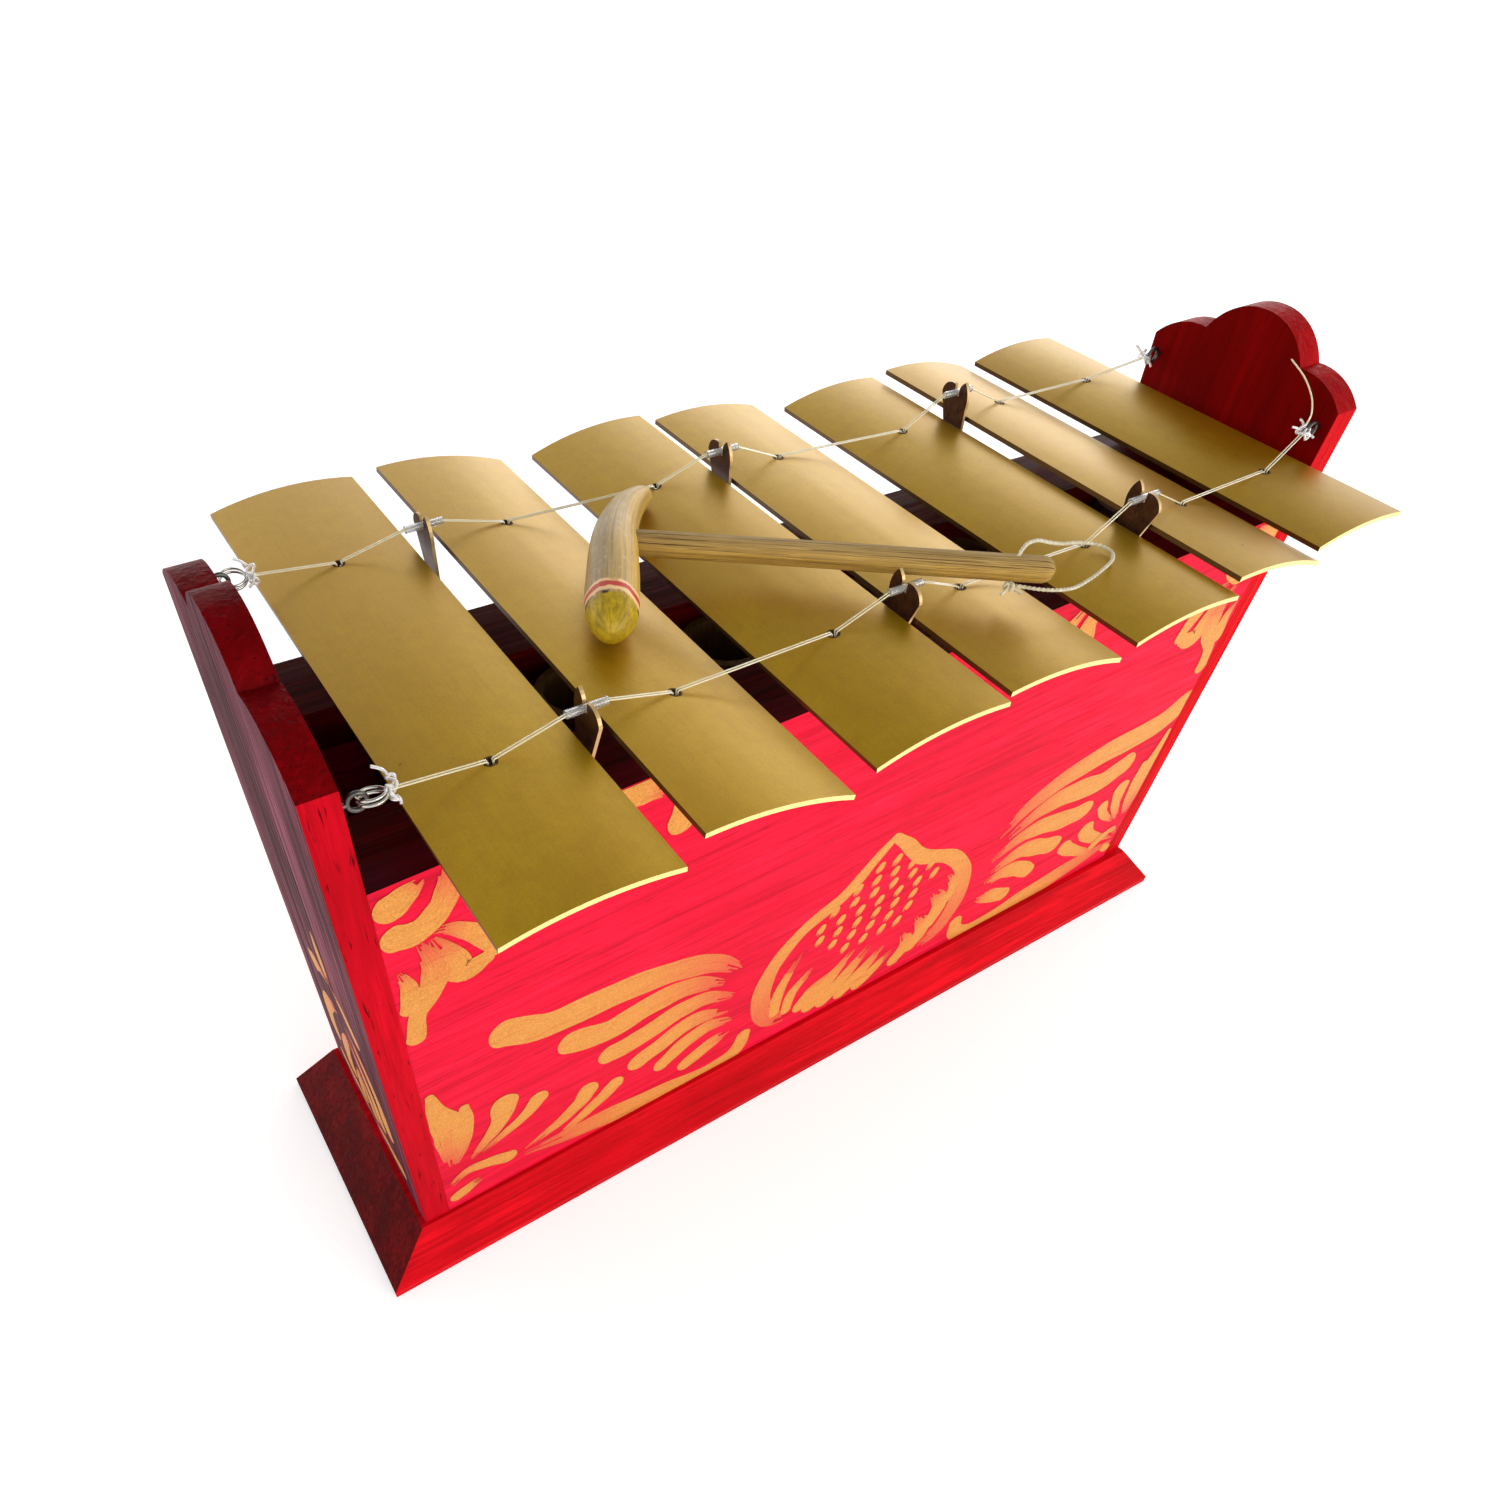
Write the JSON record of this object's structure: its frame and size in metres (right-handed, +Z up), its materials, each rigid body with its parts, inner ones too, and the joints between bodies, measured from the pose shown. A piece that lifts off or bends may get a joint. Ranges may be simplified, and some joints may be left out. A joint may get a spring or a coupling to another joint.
{
  "type": "hanging-key metallophone with beater",
  "caption": "Tapered red wooden trough with cloud-topped ends and arched brass keys hung on cords over bamboo tubes, with a horn-shaped beater.",
  "frame": {"origin": "middle of the base board's underside", "axes": "+X along the row from the longest key to the shortest, +Y to the back, +Z up"},
  "size_m": [0.636, 0.313, 0.392],
  "materials": {
    "red_stained_wood": "satin stain, gold ornament painted on the outside",
    "key_brass": "satin, filed, bright at the cut edges",
    "post_brass": "dull with bright cut edges",
    "bamboo": "natural",
    "beater_wood": "oiled, with painted bands near the striking end",
    "twine": "twisted plant fibre",
    "nylon": "clear monofilament",
    "clear_tube": "clear soft tube",
    "ring_steel": "bright nickel plate",
    "screw_steel": "zinc plated"
  },
  "bodies": {
    "frame": {"base_board": "red_stained_wood", "base_screws": "screw_steel", "front_wall": "red_stained_wood", "back_wall": "red_stained_wood", "left_end_board": "red_stained_wood", "right_end_board": "red_stained_wood", "front_rail": "red_stained_wood", "back_rail": "red_stained_wood", "resonator_1": "bamboo", "resonator_2": "bamboo", "resonator_3": "bamboo", "resonator_4": "bamboo", "resonator_5": "bamboo", "resonator_6": "bamboo", "resonator_7": "bamboo", "front_post_1": "post_brass", "front_post_2": "post_brass", "front_post_3": "post_brass", "back_post_1": "post_brass", "back_post_2": "post_brass", "back_post_3": "post_brass", "front_sleeves": "clear_tube", "back_sleeves": "clear_tube", "screw_eyes": "ring_steel", "split_rings": "ring_steel", "front_cord": "nylon", "back_cord": "nylon", "front_left_knot": "nylon", "front_right_knot": "nylon", "back_left_knot": "nylon", "back_right_knot": "nylon", "cord_tail": "nylon"},
    "key_1": {"key_1": "key_brass", "key_1_pegs": "bamboo"},
    "key_2": {"key_2": "key_brass", "key_2_pegs": "bamboo"},
    "key_3": {"key_3": "key_brass", "key_3_pegs": "bamboo"},
    "key_4": {"key_4": "key_brass", "key_4_pegs": "bamboo"},
    "key_5": {"key_5": "key_brass", "key_5_pegs": "bamboo"},
    "key_6": {"key_6": "key_brass", "key_6_pegs": "bamboo"},
    "key_7": {"key_7": "key_brass", "key_7_pegs": "bamboo"},
    "beater": {"beater_head": "beater_wood", "beater_handle": "beater_wood", "beater_knot": "twine", "beater_loop": "twine"}
  },
  "joints": [
    {"name": "key_1_bounce", "type": "slide", "parent": "frame", "child": "key_1", "axis": [0, 0, 1], "range_m": [-0.004, 0], "stiffness_N_per_m": 900, "springref_m": 0.00465, "deforming": ["front_cord"]},
    {"name": "key_2_bounce", "type": "slide", "parent": "frame", "child": "key_2", "axis": [0, 0, 1], "range_m": [-0.004, 0], "stiffness_N_per_m": 900, "springref_m": 0.00436, "deforming": ["back_cord"]},
    {"name": "key_3_bounce", "type": "slide", "parent": "frame", "child": "key_3", "axis": [0, 0, 1], "range_m": [-0.004, 0], "stiffness_N_per_m": 900, "springref_m": 0.00408},
    {"name": "key_4_bounce", "type": "slide", "parent": "frame", "child": "key_4", "axis": [0, 0, 1], "range_m": [-0.004, 0], "stiffness_N_per_m": 900, "springref_m": 0.00384},
    {"name": "key_5_bounce", "type": "slide", "parent": "frame", "child": "key_5", "axis": [0, 0, 1], "range_m": [-0.004, 0], "stiffness_N_per_m": 900, "springref_m": 0.00358},
    {"name": "key_6_bounce", "type": "slide", "parent": "frame", "child": "key_6", "axis": [0, 0, 1], "range_m": [-0.004, 0], "stiffness_N_per_m": 900, "springref_m": 0.00336},
    {"name": "key_7_bounce", "type": "slide", "parent": "frame", "child": "key_7", "axis": [0, 0, 1], "range_m": [-0.004, 0], "stiffness_N_per_m": 900, "springref_m": 0.00316},
    {"name": "beater_lift", "type": "slide", "parent": "frame", "child": "beater", "axis": [0, 0, 1], "range_m": [0, 0.15]}
  ]
}
